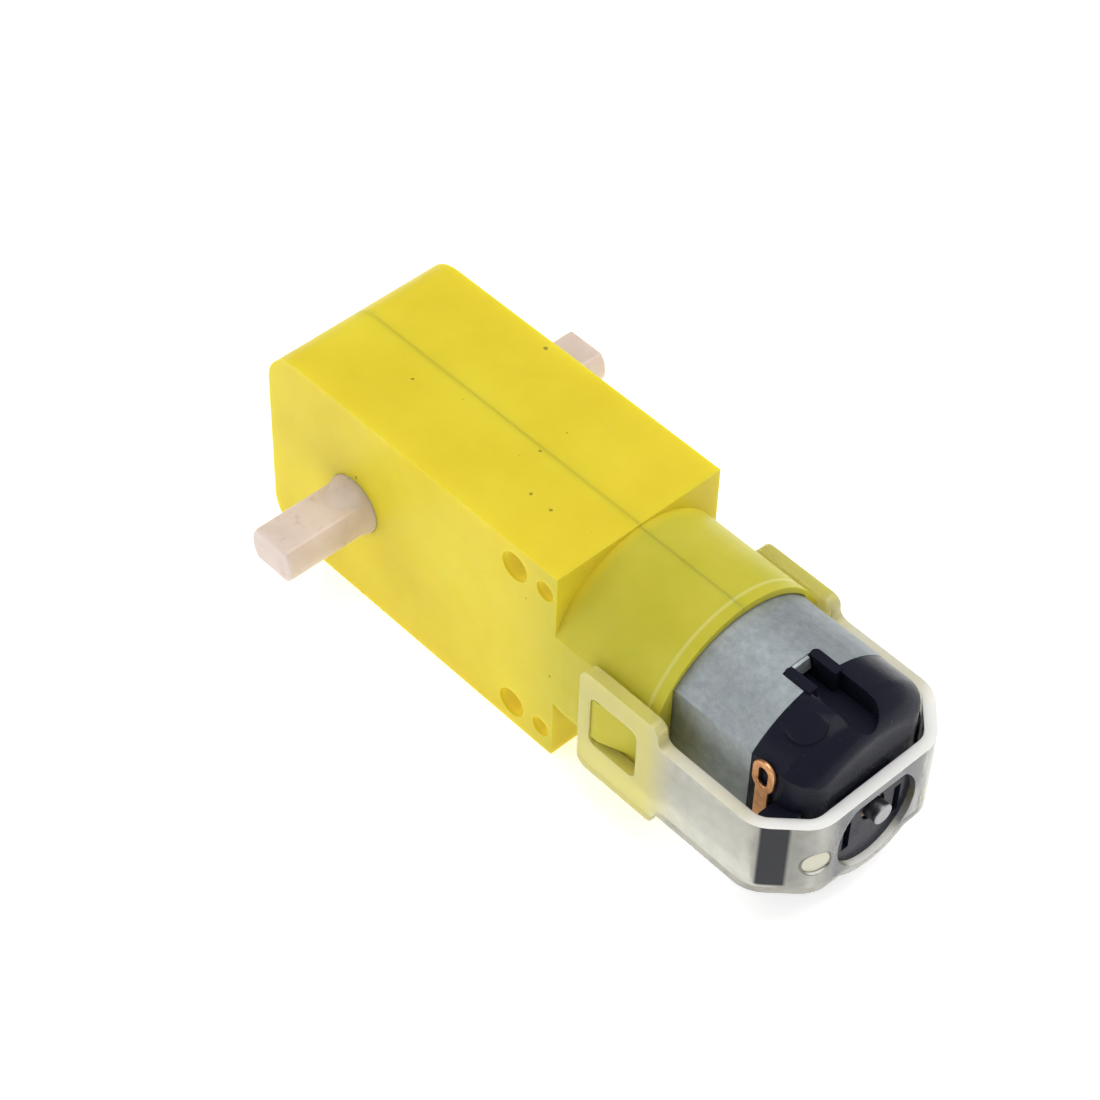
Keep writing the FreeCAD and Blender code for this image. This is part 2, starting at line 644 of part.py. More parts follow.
def end_cap():
    """The black end bell: a rounded shell, a spigot inside the can and a boss for the rear bush."""
    at_end = number("cap_end")

    def near_end(edge):
        return all(abs(vertex.X - at_end) < 1e-6 for vertex in edge.Vertexes)

    span = ("can_back", "cap_end")
    barrel = rounded("CapRound", rod("CapBarrel", "X", "cap_radius", span), "cap_round", near_end)
    slab = rounded("CapSlab", box("CapSides", span, both("cap_flat"), both("cap_radius + 1")), "cap_round",
                   lambda edge: near_end(edge) and runs_along(edge, "Z"))
    spigot = flat_sided("CapSpigot", "spigot_radius", "spigot_flat",
                        ("spigot_start", f"can_back + {MARGIN}"))
    boss_x = (f"cap_end - {MARGIN}", "rear_boss_end")
    boss = common("CapBoss", rod("CapBossRound", "X", "rear_boss", boss_x, ("0", "-rear_boss_drop")),
                  box("CapBossTrim", boss_x, both("rear_boss"), ("-2 * rear_boss", "rear_boss_flat")))
    extras = []
    for side, sign, turn in (("Left", "-", 0), ("Right", "", 180)):
        fin = padded(f"Fin{side}", "XY_Plane",
                     [("fin_start", sign + "(cap_flat - 1)"), ("fin_start", sign + "fin_out"),
                      ("fin_corner", sign + "fin_out"),
                      ("fin_end", sign + "(fin_out - (fin_end - fin_corner))"),
                      ("fin_end", sign + "(cap_flat - 1)")],
                     "fin_high - fin_low")
        middle = (number("fin_high") + number("fin_low")) / 2
        fin.Placement = FreeCAD.Placement(FreeCAD.Vector(0, 0, middle), FreeCAD.Rotation())
        pad = doc.addObject("Part::Cylinder", f"Pad{side}")
        pad.setExpression("Radius", bound("pad_radius"))
        foot = f"cap_hollow + {BITE}"
        pad.setExpression("Height", bound(f"pad_top - ({foot})"))
        tilt = FreeCAD.Rotation(FreeCAD.Vector(1, 0, 0), number("pad_turn") + turn)
        stand = tilt.multVec(FreeCAD.Vector(number("pad_along"), 0, number(foot)))
        pad.Placement = FreeCAD.Placement(stand, tilt)
        skin = rod(f"PadSkin{side}", "X", f"cap_radius + {BITE}", span)
        extras += [fin, common(f"PadTrim{side}", pad, skin)]
    solid = fuse("CapSolid", common("CapBody", barrel, slab), spigot, boss, *extras)
    hollow = flat_sided("CapHollow", "cap_hollow", "cap_hollow_flat",
                        (f"spigot_start - {MARGIN}", "cap_floor"))
    tools = [hollow, rod("CapBearing", "X", "rear_bush", (f"cap_floor - {MARGIN}", "rear_bush_end")),
             rod("CapMouth", "X", "rear_mouth", (f"rear_bush_end - {MARGIN}", f"rear_boss_end + {MARGIN}"))]
    ribs = []
    for level, up in LEVELS:
        deep = sorted((up + "groove_floor", up + "(can_radius + 1)"), key=number)
        along = (f"spigot_start - {MARGIN}", "groove_end - groove_half")
        tools += [box(f"Groove{level}", along, both("groove_half"), tuple(deep)),
                  rod(f"GrooveEnd{level}", "Z", "groove_half", tuple(deep),
                      ("groove_end - groove_half", "0"))]
        rib = tuple(sorted((up + f"(cap_hollow + {BITE})", up + "rib_out"), key=number))
        for side, low, high in (("Near", "-slit_far", "-slit_near"), ("Far", "slit_near", "slit_far")):
            middle = f"({low} + {high}) / 2"
            half = "(slit_far - slit_near) / 2"
            ribs += [box(f"Rib{level}{side}", (f"slit_start + {half}", "rib_end"), (low, high), rib),
                     rod(f"RibEnd{level}{side}", "Z", half, rib, (f"slit_start + {half}", middle))]
    for side, sign in (("Left", "-1 * "), ("Right", "1 * ")):
        wide = sorted((sign + "(slot_off - slot_half)", sign + "(slot_off + slot_half)"), key=number)
        tools.append(box(f"BrushSlot{side}", ("rear_boss_end - slot_deep", f"rear_boss_end + {MARGIN}"),
                         tuple(wide), ("slot_low", "slot_top")))
        through = sorted((sign + f"(cap_hollow_flat - {MARGIN})", sign + f"(cap_flat + {MARGIN})"),
                         key=number)
        tools.append(box(f"FootSlot{side}", ("brush_start", "brush_end"), tuple(through),
                         ("arm_level", "arm_level + arm_thick")))
    named(fuse("Cap", cut("CapShell", solid, *tools), *ribs), "end_cap")


def rotor():
    """Shaft, armature, windings, commutator and insulating washers, which all turn together."""
    named(rod("MotorShaft", "X", "motor_shaft_radius", ("motor_shaft_start", "motor_shaft_end")),
          "motor_shaft")
    length = ("core_start", "core_end")
    along = (f"core_start - {MARGIN}", f"core_end + {MARGIN}")
    hub = rod("CoreHub", "X", "core_hub", length)
    ring = tube("CoreRing", "X", "core_radius", "core_shoe", length)
    necks, slots, coils, gaps = [], [], [], []
    for index in range(3):
        angle = 90 + 120 * index
        turn = FreeCAD.Rotation(FreeCAD.Vector(1, 0, 0), angle)
        neck = box(f"Neck{index}", length, both("core_neck"), ("core_hub / 2", f"core_shoe + {BITE}"))
        slot = box(f"Slot{index}", along, both("core_slot"), ("core_hub", f"core_radius + {MARGIN}"))
        loop = box(f"Loop{index}", ("core_start - coil_over", "core_end + coil_over"), both("coil_half"),
                   ("coil_low", "coil_high"))
        eye = box(f"LoopEye{index}", length, both("core_neck"),
                  (f"coil_low - {MARGIN}", f"coil_high + {MARGIN}"))
        gap = box(f"Gap{index}", (f"commutator_start - {MARGIN}", f"commutator_end + {MARGIN}"),
                  both("segment_gap"), ("0", f"commutator_radius + {MARGIN}"))
        coil = cut(f"Coil{index}", loop, eye)
        for part, turned in ((neck, angle), (coil, angle), (slot, angle + 60), (gap, angle + 60)):
            spin(part, turned)
        necks.append(neck)
        slots.append(slot)
        coils.append(coil)
        gaps.append(gap)
    bore = rod("CoreBore", "X", "motor_shaft_radius", along)
    shoes = cut("CoreShoes", ring, *slots)
    named(cut("Core", fuse("CoreSolid", hub, shoes, *necks), bore), "armature_core")
    named(fuse("Coils", *coils), "windings")
    named(tube("Sleeve", "X", "sleeve_radius", "motor_shaft_radius", ("sleeve_start", "sleeve_end")),
          "commutator_sleeve")
    shell = tube("CommutatorRing", "X", "commutator_radius", "sleeve_radius",
                 ("commutator_start", "commutator_end"))
    named(cut("Commutator", shell, *gaps), "commutator")
    washers = [tube(f"Washer{index}", "X", "bush_radius", "motor_shaft_radius", span)
               for index, span in enumerate((
                   ("front_bush_end + washer_gap", "front_bush_end + washer_gap + washer_thick"),
                   ("cap_floor - washer_gap - washer_thick", "cap_floor - washer_gap")))]
    named(fuse("Washers", *washers), "shaft_washers")


def spin(part, angle):
    """Turn a part made about the X axis round that axis."""
    origin = part.Placement.Base
    bases = {axis: dict(part.ExpressionEngine).get(".Placement.Base." + axis)
             or dict(part.ExpressionEngine).get("Placement.Base." + axis) for axis in "xyz"}
    turn = FreeCAD.Rotation(FreeCAD.Vector(1, 0, 0), angle)
    radians = math.radians(angle)
    part.Placement = FreeCAD.Placement(origin, turn)
    if bases["y"]:
        cosine, sine = repr(round(math.cos(radians), 9)), repr(round(math.sin(radians), 9))
        part.setExpression("Placement.Base.y", f"({bases['y']}) * ({cosine}) - ({bases['z']}) * ({sine})")
        part.setExpression("Placement.Base.z", f"({bases['y']}) * ({sine}) + ({bases['z']}) * ({cosine})")


def bearings():
    """Sintered bushes pressed in the can's boss and in the end cap's boss."""
    inner = "motor_shaft_radius + running"
    named(tube("FrontBush", "X", "bush_radius", inner, ("boss_front + bush_lip", "front_bush_end")),
          "front_bearing")
    named(tube("RearBush", "X", "rear_bush", inner, ("cap_floor", "rear_bush_end")), "rear_bearing")


def magnets():
    """Two arc magnets against the can's round walls, spread apart by a wire spring."""
    outer = "can_radius - can_sheet"
    ring = tube("MagnetRing", "X", outer, "magnet_inner", ("magnet_start", "magnet_end"))
    for label, span in (("magnet_upper", ("magnet_gap", outer)),
                        ("magnet_lower", (f"-({outer})", "-magnet_gap"))):
        space = box(label.title() + "Space", ("magnet_start", "magnet_end"), both("can_flat - can_sheet"),
                    span)
        named(common(label.title(), ring, space), label)
    level = "magnet_gap - spring_wire"
    span = ("magnet_start + 0.5", "magnet_end - 1")
    legs = [rod(f"SpringLeg{name}", "X", "spring_wire", span, ("spring_off", sign + f"({level})"))
            for name, sign in (("Top", ""), ("Low", "-"))]
    bend = rod("SpringBend", "Z", "spring_wire", both(level), (span[1], "spring_off"))
    named(fuse("MagnetSpring", *legs, bend), "magnet_spring")


def brush_gear():
    """On each flat side: a terminal with an eye, a leaf spring arm and a carbon brush."""
    along = ("brush_start", "brush_end")
    sheet_x = ("terminal_start", "terminal_end")
    middle = "(terminal_start + terminal_end) / 2"
    tip = "arm_inner + arm_thick"
    level = ("arm_level", "arm_level + arm_thick")
    for side, sign, droop in (("left", "-1 * ", "0"), ("right", "1 * ", "terminal_droop")):
        def span(low, high):
            """A span across the motor, on this side of it."""
            return tuple(sorted((sign + f"({low})", sign + f"({high})"), key=number))

        name = side.title()
        block = box(f"Brush{name}", along, span("0", "arm_inner"), both("brush_half"))
        face = rod(f"BrushFace{name}", "X", "commutator_radius + brush_play",
                   (f"brush_start - {MARGIN}", f"brush_end + {MARGIN}"))
        named(cut(f"BrushFitted{name}", block, face), f"brush_{side}")

        leaf = box(f"Leaf{name}", along, span("arm_inner", tip), ("-arm_low", level[1]))
        link = box(f"Link{name}", along, span("arm_inner", "foot_inner"), level)
        named(fuse(f"BrushArm{name}", leaf, link), f"brush_arm_{side}")

        sheet_y = span("terminal_inner", "terminal_inner + terminal_thick")
        clear_y = span(f"terminal_inner - {MARGIN}", f"terminal_inner + {MARGIN}")
        centres = (f"terminal_eye_low - {droop}", f"terminal_eye - {droop}")
        strip = box(f"Strip{name}", sheet_x, sheet_y, ("terminal_low", centres[1]))
        foot = box(f"Foot{name}", along, span("foot_inner", "terminal_inner"), level)
        eye = long_rod(f"Eye{name}", "terminal_eye_radius", sheet_y, middle, centres)
        hole = long_rod(f"EyeHole{name}", "terminal_hole", clear_y, middle, centres)
        named(cut(f"Terminal{name}", fuse(f"TerminalBlank{name}", strip, eye, foot), hole),
              f"terminal_{side}")


def long_rod(name, radius, across, middle, centres):
    """A bar along Y with a slot's outline, upright between two centres."""
    ends = [rod(f"{name}{end}", "Y", radius, across, (middle, level))
            for end, level in zip(("Low", "Top"), centres)]
    body = box(f"{name}Middle", (f"{middle} - {radius}", f"{middle} + {radius}"), across, centres)
    return fuse(name, *ends, body)


# ---------------------------------------------------------------- strap

def retaining_strap():
    """The clear U-shaped strap: a window over each hook and a plate with an opening for the rear boss."""
    out, far = "(strap_inner + strap_thick)", "(strap_plate + strap_thick)"
    outer = [("strap_start", out), (f"{far} - strap_corner_out", out), (far, f"{out} - strap_corner_out")]
    inner = [("strap_start", "strap_inner"), ("strap_plate - strap_corner_in", "strap_inner"),
             ("strap_plate", "strap_inner - strap_corner_in")]
    outline = [(x, f"-({y})") for x, y in outer] + outer[::-1]
    outline += inner + [(x, f"-({y})") for x, y in inner[::-1]]
    strip = padded("StrapStrip", "XY_Plane", outline, "2 * strap_bulge + 2")
    start = number("strap_start")
    facet = number(f"{far} + {out} - strap_corner_out")

    def bend_edge(edge, outside):
        """True for the upright edges at the corners, on the outer or on the inner side."""
        spot = edge.Vertexes[0]
        on_facet = spot.X + abs(spot.Y) > facet - float(BITE)
        return runs_along(edge, "Z") and spot.X > start + 1 and on_facet == outside

    round_body(strip, "strap_bend_out", lambda edge: bend_edge(edge, True))
    round_body(strip, "strap_bend_in", lambda edge: bend_edge(edge, False))

    end = f"{far} + {MARGIN}"
    side = padded("StrapSide", "XZ_Plane",
                  [("strap_start", "strap_frame_low"), ("strap_frame_end", "strap_frame_low"),
                   ("strap_frame_end", "strap_low"), (end, "strap_low"), (end, "strap_top"),
                   ("strap_frame_end", "strap_top"), ("strap_frame_end", "strap_frame_top"),
                   ("strap_start", "strap_frame_top")], f"2 * ({out} + {MARGIN})")
    frame_end = number("strap_frame_end")
    round_body(side, "frame_round",
               lambda edge: runs_along(edge, "Y") and abs(edge.Vertexes[0].X - start) < 1e-6)
    for radius, above in (("frame_step_top", True), ("frame_step_low", False)):
        round_body(side, radius,
                   lambda edge: runs_along(edge, "Y") and (edge.Vertexes[0].Z > 0) == above
                   and abs(edge.Vertexes[0].X - frame_end) < 1e-6)

    wide = both(f"{out} + {MARGIN}")
    ring_x = ("strap_plate - 0.5", end)
    ring = common("StrapRing", rod("StrapBulge", "X", "strap_bulge", ring_x),
                  box("StrapTrim", ring_x, wide, ("-strap_bulge", "0")))
    shape = common("StrapShape", strip, fuse("StrapSpace", side, ring))
    pane = box("StrapPane", ("window_start", "window_end"), wide, ("window_low", "window_top"))
    window = rounded("StrapWindow", pane, "window_round", lambda edge: runs_along(edge, "Y"))
    hole_x = ("strap_plate - 1", end)
    hole = common("StrapHole", rod("StrapHoleRound", "X", "strap_hole", hole_x, ("0", "-rear_boss_drop")),
                  box("StrapHoleTrim", hole_x, wide, ("-2 * strap_hole", "strap_hole_top")))
    mark = doc.addObject("Part::Cylinder", "StrapMark")
    mark.setExpression("Radius", bound("strap_mark"))
    mark.setExpression("Height", bound(f"strap_mark_deep + {MARGIN}"))
    bend = number("strap_bend_out")
    facing = FreeCAD.Vector(math.cos(math.pi / 8), -math.sin(math.pi / 8), 0)
    middle_x = number(far) - bend
    spot = FreeCAD.Vector(middle_x, middle_x + bend * math.sqrt(2) - facet, number("strap_mark_up"))
    spot += facing * (bend - number("strap_mark_deep"))
    mark.Placement = FreeCAD.Placement(spot, FreeCAD.Rotation(FreeCAD.Vector(0, 0, 1), facing))
    named(cut("Strap", shape, window, hole, mark), "retaining_strap")


def check_and_export():
    """Stop on any failed feature, then write one STEP file for each sub-part."""
    doc.recompute()
    for thing in doc.Objects:
        if "Invalid" in thing.State or "Error" in thing.State:
            raise RuntimeError(f"{thing.Name}: {thing.State}")
    os.makedirs("parts", exist_ok=True)
    for part in finished:
        shape = part.Shape
        if shape.isNull() or not shape.isValid():
            raise RuntimeError(f"{part.Label} has no valid shape")
        shape.exportStep(f"parts/{part.Label}.step")
        print(f"{part.Label}: {len(shape.Solids)} solid(s), {shape.Volume:.1f} mm3")


housing()
housing_screws()
output_shaft()
gear_train()
motor_can()
end_cap()
rotor()
bearings()
magnets()
brush_gear()
retaining_strap()
check_and_export()
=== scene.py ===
"""Geared DC motor: materials, soft edges, camera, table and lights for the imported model.

Lengths are in metres, in the model's own frame: the origin is on the output shaft's axis, +X runs along
the motor, +Y along the output shaft and +Z up. A number times MM is in millimetres.
"""
import json
import math

import bpy
from mathutils import Matrix, Vector


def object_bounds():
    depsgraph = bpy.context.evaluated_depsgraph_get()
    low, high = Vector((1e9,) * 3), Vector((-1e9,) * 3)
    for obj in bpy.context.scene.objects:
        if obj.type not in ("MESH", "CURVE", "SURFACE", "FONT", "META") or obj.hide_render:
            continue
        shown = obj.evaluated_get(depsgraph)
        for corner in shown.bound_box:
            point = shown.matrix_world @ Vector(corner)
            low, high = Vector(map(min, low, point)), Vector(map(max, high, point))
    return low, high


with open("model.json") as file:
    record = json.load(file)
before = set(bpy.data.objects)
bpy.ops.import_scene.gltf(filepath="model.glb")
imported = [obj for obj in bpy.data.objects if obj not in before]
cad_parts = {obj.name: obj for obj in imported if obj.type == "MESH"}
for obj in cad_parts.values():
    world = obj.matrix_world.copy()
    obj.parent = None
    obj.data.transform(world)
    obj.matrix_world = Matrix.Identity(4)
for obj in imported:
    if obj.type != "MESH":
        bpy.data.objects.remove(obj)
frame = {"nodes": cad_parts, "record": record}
cad_low, cad_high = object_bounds()
MM = 0.001

# Camera
CAMERA_AZIMUTH = math.radians(45.475)       # from -Y towards +X
CAMERA_ELEVATION = math.radians(47.552)
CAMERA_ROLL = math.radians(2.021)
CAMERA_DISTANCE = 0.2628
CAMERA_TARGET = Vector((0.015505, -0.000334, 0.0))
CAMERA_LENS = 99.1                          # mm
CAMERA_SENSOR = 36                          # mm

# Lights: place, size and power in watts, all aimed at LIGHT_TARGET
LIGHTS = {
    "Top box": ((0.10, 0.12, 0.65), (0.5, 0.5), 3.1),
    "Left box": ((-0.45, -0.45, 0.30), (0.5, 0.4), 1.25),
    "Right box": ((0.45, 0.60, 0.25), (1.1, 0.8), 1.15),
}
LIGHT_TARGET = (0.015, 0, 0)
ROOM_STRENGTH = 0.37
TABLE_HALF = 0.6
TABLE_GAP = 0.1 * MM
TABLE_STRENGTH = 0.60
WHITE = (1, 1, 1, 1)

# A face is turned towards an axis as its normal's part along that axis goes from the first to the second
FACING = (0.6, 0.95)

# Places on the housing, from and to
COLLAR_START = (25.2 * MM, 27.0 * MM)       # X where the collar's thinner, greener wall begins
SIDE_SHADE_START = (18.0 * MM, 29.0 * MM)         # X where painted shade fades in on the flat sides that face ±Y, in the collar's darker colour
LIP_HIGHLIGHT = (36.45 * MM, 36.65 * MM)              # X of the painted highlight, a pale line round the collar's mouth where its rounded lip catches the light
LIP_HIGHLIGHT_WEIGHT = 0.30
HOLE_UP = (7.1 * MM, 10.4 * MM)             # Z of the mounting and dowel holes, above and below the axis
HOLE_ALONG = (19.0 * MM, 25.5 * MM)         # X of the same holes
HOLE_ACROSS = (-8.9 * MM, 8.9 * MM)         # Y just inside the housing's sides
HOLE_GLOW = 0.20                            # light that comes through the thin walls into the holes

# Places on the strap, from and to
FRAME_YELLOW_LIGHT = (41.5 * MM, 37.5 * MM)          # X where painted yellow light, bounced from the yellow housing, tints the strap beside the collar
LIT_TOP_END = (51.0 * MM, 48.0 * MM)            # X where the faces turned up fade from a painted white highlight to cream
FIN_ALONG = (50.5 * MM, 52.0 * MM)          # X and Z of the end cap's dark fin, which touches the strap, painted dark onto the strap as it is seen through it
FIN_UP = (-4.1 * MM, 3.5 * MM)
PLATE_START = (52.6 * MM, 53.2 * MM)        # X, Y and Z of the clear middle of the plate behind the cap, tinted darker grey as painted shade
PLATE_ACROSS = (-4.2 * MM, 4.6 * MM)
PLATE_LOW = (-5.6 * MM, -4.4 * MM)
GLOW_START = (49.5 * MM, 51.0 * MM)         # X, Y and Z of the yellow light in the far lower corner
GLOW_ACROSS = (5.5 * MM, 7.5 * MM)
GLOW_LOW = (-2.0 * MM, -4.2 * MM)
MARK = Vector((0.0535, -0.0066, -0.0015))   # middle of the round mould mark
MARK_EDGE = (1.30 * MM, 1.15 * MM)          # distance from it where the mark meets its dark ring
RING_EDGE = (1.55 * MM, 1.42 * MM)          # distance from it where the ring ends

# Width in mm of the rounding on the edges of the nodes that show
SOFT_EDGE = {"housing_left": 0.28, "housing_right": 0.28, "output_shaft": 0.12, "end_cap": 0.12,
             "motor_can": 0.05, "retaining_strap": 0.22, "terminal_left": 0.08, "terminal_right": 0.08,
             "motor_shaft": 0.12, "housing_screws": 0.08}
SHARP_ANGLE = math.radians(32)              # edges sharper than this are rounded
FLAT_ANGLE = math.radians(0.5)              # faces that differ by less than this are joined first


# ---------------------------------------------------------------- node helpers

def new_material(name):
    """A new material, as itself, its node tree and its Principled shader."""
    material = bpy.data.materials.new(name)
    material.use_nodes = True
    tree = material.node_tree
    tree.nodes.clear()
    output = tree.nodes.new("ShaderNodeOutputMaterial")
    shader = tree.nodes.new("ShaderNodeBsdfPrincipled")
    tree.links.new(shader.outputs[0], output.inputs["Surface"])
    return material, tree, shader


def set_inputs(tree, node, values):
    """Fill a node's inputs: a socket is linked, and anything else is set as a constant."""
    for name, value in values.items():
        if isinstance(value, bpy.types.NodeSocket):
            tree.links.new(value, node.inputs[name])
        else:
            node.inputs[name].default_value = value


def object_coords(tree, stretch=(1, 1, 1)):
    """The object's own coordinates, in metres, stretched per axis."""
    coords = tree.nodes.new("ShaderNodeTexCoord")
    mapping = tree.nodes.new("ShaderNodeMapping")
    set_inputs(tree, mapping, {"Scale": stretch, "Vector": coords.outputs["Object"]})
    return mapping.outputs["Vector"]


def surface_normal(tree):
    """The direction in which each face looks."""
    return tree.nodes.new("ShaderNodeTexCoord").outputs["Normal"]


def noise(tree, vector, size, detail=4.0, roughness=0.55, distortion=0.0):
    """Noise whose features are about size metres across."""
    node = tree.nodes.new("ShaderNodeTexNoise")
    set_inputs(tree, node, {"Scale": 1 / size, "Detail": detail, "Roughness": roughness,
                            "Distortion": distortion, "Vector": vector})
    return node.outputs["Fac"]


def colour_of(value):
    """A colour with its alpha, from a colour or a grey level."""
    return (*value, 1) if isinstance(value, tuple) else (value, value, value, 1)


def ramp(tree, value, first, second, between=(0.3, 0.7)):
    """A blend from the first colour or grey level to the second, as a value rises between two levels."""
    node = tree.nodes.new("ShaderNodeValToRGB")
    for element, position, colour in zip(node.color_ramp.elements, between, (first, second)):
        element.position = position
        element.color = colour_of(colour)
    tree.links.new(value, node.inputs["Fac"])
    return node.outputs["Color"]


def mix(tree, factor, first, second, blend="MIX"):
    """Mix two colours; each is a socket, a colour or a grey level, and the factor a socket or a number."""
    node = tree.nodes.new("ShaderNodeMix")
    node.data_type = "RGBA"
    node.blend_type = blend
    for socket, value in (("Factor_Float", factor), ("A_Color", first), ("B_Color", second)):
        target = next(s for s in node.inputs if s.identifier == socket)
        if isinstance(value, bpy.types.NodeSocket):
            tree.links.new(value, target)
        else:
            target.default_value = value if socket == "Factor_Float" else colour_of(value)
    return next(s for s in node.outputs if s.identifier == "Result_Color")


def bump(tree, shader, height, depth, strength):
    """Raise the shader's surface by a height map, depth metres deep."""
    node = tree.nodes.new("ShaderNodeBump")
    set_inputs(tree, node, {"Strength": strength, "Distance": depth, "Height": height})
    set_inputs(tree, shader, {"Normal": node.outputs["Normal"]})


def distance(tree, vector, place):
    """How far a point is from a place, in metres."""
    node = tree.nodes.new("ShaderNodeVectorMath")
    node.operation = "DISTANCE"
    node.inputs[1].default_value = place
    tree.links.new(vector, node.inputs[0])
    return node.outputs["Value"]


# ---------------------------------------------------------------- masks, from 0 to 1

def fade(tree, value, low, high):
    """A smooth fade of a value, from 0 at low to 1 at high."""
    node = tree.nodes.new("ShaderNodeMapRange")
    node.interpolation_type = "SMOOTHSTEP"
    set_inputs(tree, node, {"From Min": low, "From Max": high, "Value": value})
    return node.outputs["Result"]


def sheer(tree, vector, axis, low, high):
    """A fade from 0 to 1 between two places along one axis of a vector."""
    parts = tree.nodes.new("ShaderNodeSeparateXYZ")
    tree.links.new(vector, parts.inputs[0])
    return fade(tree, parts.outputs[axis], low, high)


def overlap(tree, *masks):
    """The part that all the masks share; a plain number weakens it."""
    shared = masks[0]
    for mask in masks[1:]:
        shared = mix(tree, 1.0, shared, mask, "MULTIPLY")
    return shared


def either(tree, first, second):
    """The larger of two masks."""
    return mix(tree, 1.0, first, second, "LIGHTEN")


def band(tree, vector, axis, low, high, soft):
    """1 between two places along one axis, fading to 0 over soft metres outside them."""
    return overlap(tree, sheer(tree, vector, axis, low - soft, low),
                   sheer(tree, vector, axis, high + soft, high))


# ---------------------------------------------------------------- materials

def yellow_plastic():
    """Moulded yellow plastic: a soft gloss, faint flow marks, fine scuffs and a few dark specks, with
    painted shade on the flat sides, a painted highlight round the collar's lip and a painted glow in the
    holes.
    """
    material, tree, shader = new_material("yellow plastic")
    where = object_coords(tree)
    facing = surface_normal(tree)
    # Painted shade: the flat sides that face ±Y are darkened to the collar's colour towards the collar.
    shaded_sides = either(tree, sheer(tree, facing, "Y", -FACING[0], -FACING[1]),
                   sheer(tree, facing, "Y", *FACING))
    shaded_sides = overlap(tree, shaded_sides, sheer(tree, where, "X", *SIDE_SHADE_START))
    collar_and_side_shade = either(tree, sheer(tree, where, "X", *COLLAR_START), shaded_sides)
    # Painted highlight: a pale line round the collar's mouth.
    lip_highlight = overlap(tree, band(tree, where, "X", *LIP_HIGHLIGHT, 0.12 * MM), LIP_HIGHLIGHT_WEIGHT)
    holes = either(tree, band(tree, where, "Z", *HOLE_UP, 0.1 * MM),
                   band(tree, where, "Z", -HOLE_UP[1], -HOLE_UP[0], 0.1 * MM))
    holes = overlap(tree, holes, band(tree, where, "X", *HOLE_ALONG, 0.1 * MM),
                    band(tree, where, "Y", *HOLE_ACROSS, 0.5 * MM))

    flow = ramp(tree, noise(tree, where, 9 * MM, 4), (0.710, 0.565, 0.030), (0.770, 0.630, 0.042))
    # The collar wall's own darker colour, which is also the painted shade on the flat sides.
    collar_wall_and_side_shade = ramp(tree, noise(tree, where, 6 * MM, 3), (0.500, 0.455, 0.035), (0.570, 0.510, 0.055))
    specks = ramp(tree, noise(tree, where, 0.8 * MM, 0, 0.4), 0.0, 0.7, (0.872, 0.89))
    colour = mix(tree, collar_and_side_shade, flow, collar_wall_and_side_shade)
    colour = mix(tree, lip_highlight, colour, (0.80, 0.76, 0.34))
    colour = mix(tree, specks, colour, (0.16, 0.12, 0.02))
    set_inputs(tree, shader, {
        "Base Color": colour,
        "Roughness": ramp(tree, noise(tree, where, 2.5 * MM, 6, 0.7), 0.34, 0.52, (0.3, 0.75)),
        "Subsurface Weight": 0.45, "Subsurface Radius": (1.0, 0.8, 0.10), "Subsurface Scale": 2.4 * MM,
        "IOR": 1.42, "Specular IOR Level": 0.16,
        "Emission Color": (0.78, 0.74, 0.12, 1), "Emission Strength": mix(tree, holes, 0.0, HOLE_GLOW),
    })
    bump(tree, shader, noise(tree, where, 1.6 * MM, 5, 0.6), 0.02 * MM, 0.4)
    return material


def shaft_plastic():
    """Milky nylon with a pink cast and brown handling marks."""
    material, tree, shader = new_material("milky nylon")
    where = object_coords(tree)
    clean = ramp(tree, noise(tree, where, 4 * MM, 3), (0.62, 0.505, 0.44), (0.72, 0.61, 0.56))
    dirt = ramp(tree, noise(tree, where, 1.5 * MM, 5, 0.7), 0.0, 0.5, (0.58, 0.72))
    set_inputs(tree, shader, {
        "Base Color": mix(tree, dirt, clean, (0.40, 0.30, 0.22)),
        "Roughness": 0.42, "IOR": 1.48,
        "Subsurface Weight": 0.5, "Subsurface Radius": (1.0, 0.8, 0.65), "Subsurface Scale": 1.3 * MM,
    })
    bump(tree, shader, noise(tree, where, 0.6 * MM, 5, 0.6), 0.02 * MM, 0.4)
    return material


def gear_plastic():
    """Natural acetal, nearly white."""
    material, tree, shader = new_material("gear acetal")
    where = object_coords(tree)
    set_inputs(tree, shader, {
        "Base Color": ramp(tree, noise(tree, where, 4 * MM, 3), (0.74, 0.74, 0.70), (0.84, 0.84, 0.81)),
        "Roughness": 0.42,
        "Subsurface Weight": 0.2, "Subsurface Radius": (1, 0.9, 0.8), "Subsurface Scale": 1.0 * MM,
    })
    bump(tree, shader, noise(tree, where, 0.4 * MM, 3), 0.01 * MM, 0.3)
    return material


def can_steel():
    """Zinc-plated sheet: a dull grey metal with fine mottling and faint draw marks along the can."""
    material, tree, shader = new_material("zinc plated sheet")
    where = object_coords(tree)
    along = object_coords(tree, (0.25, 1, 1))
    cloud = ramp(tree, noise(tree, where, 1.1 * MM, 7, 0.75, 0.3),
                 (0.28, 0.315, 0.33), (0.42, 0.455, 0.475))
    streak = ramp(tree, noise(tree, along, 0.5 * MM, 4, 0.6), 0.90, 1.0, (0.25, 0.75))
    set_inputs(tree, shader, {
        "Base Color": mix(tree, 1.0, cloud, streak, "MULTIPLY"),
        "Roughness": ramp(tree, noise(tree, where, 0.8 * MM, 5, 0.7), 0.50, 0.66, (0.3, 0.75)),
        "Metallic": 0.75,
    })
    bump(tree, shader, noise(tree, where, 0.35 * MM, 5, 0.7), 0.015 * MM, 0.6)
    return material


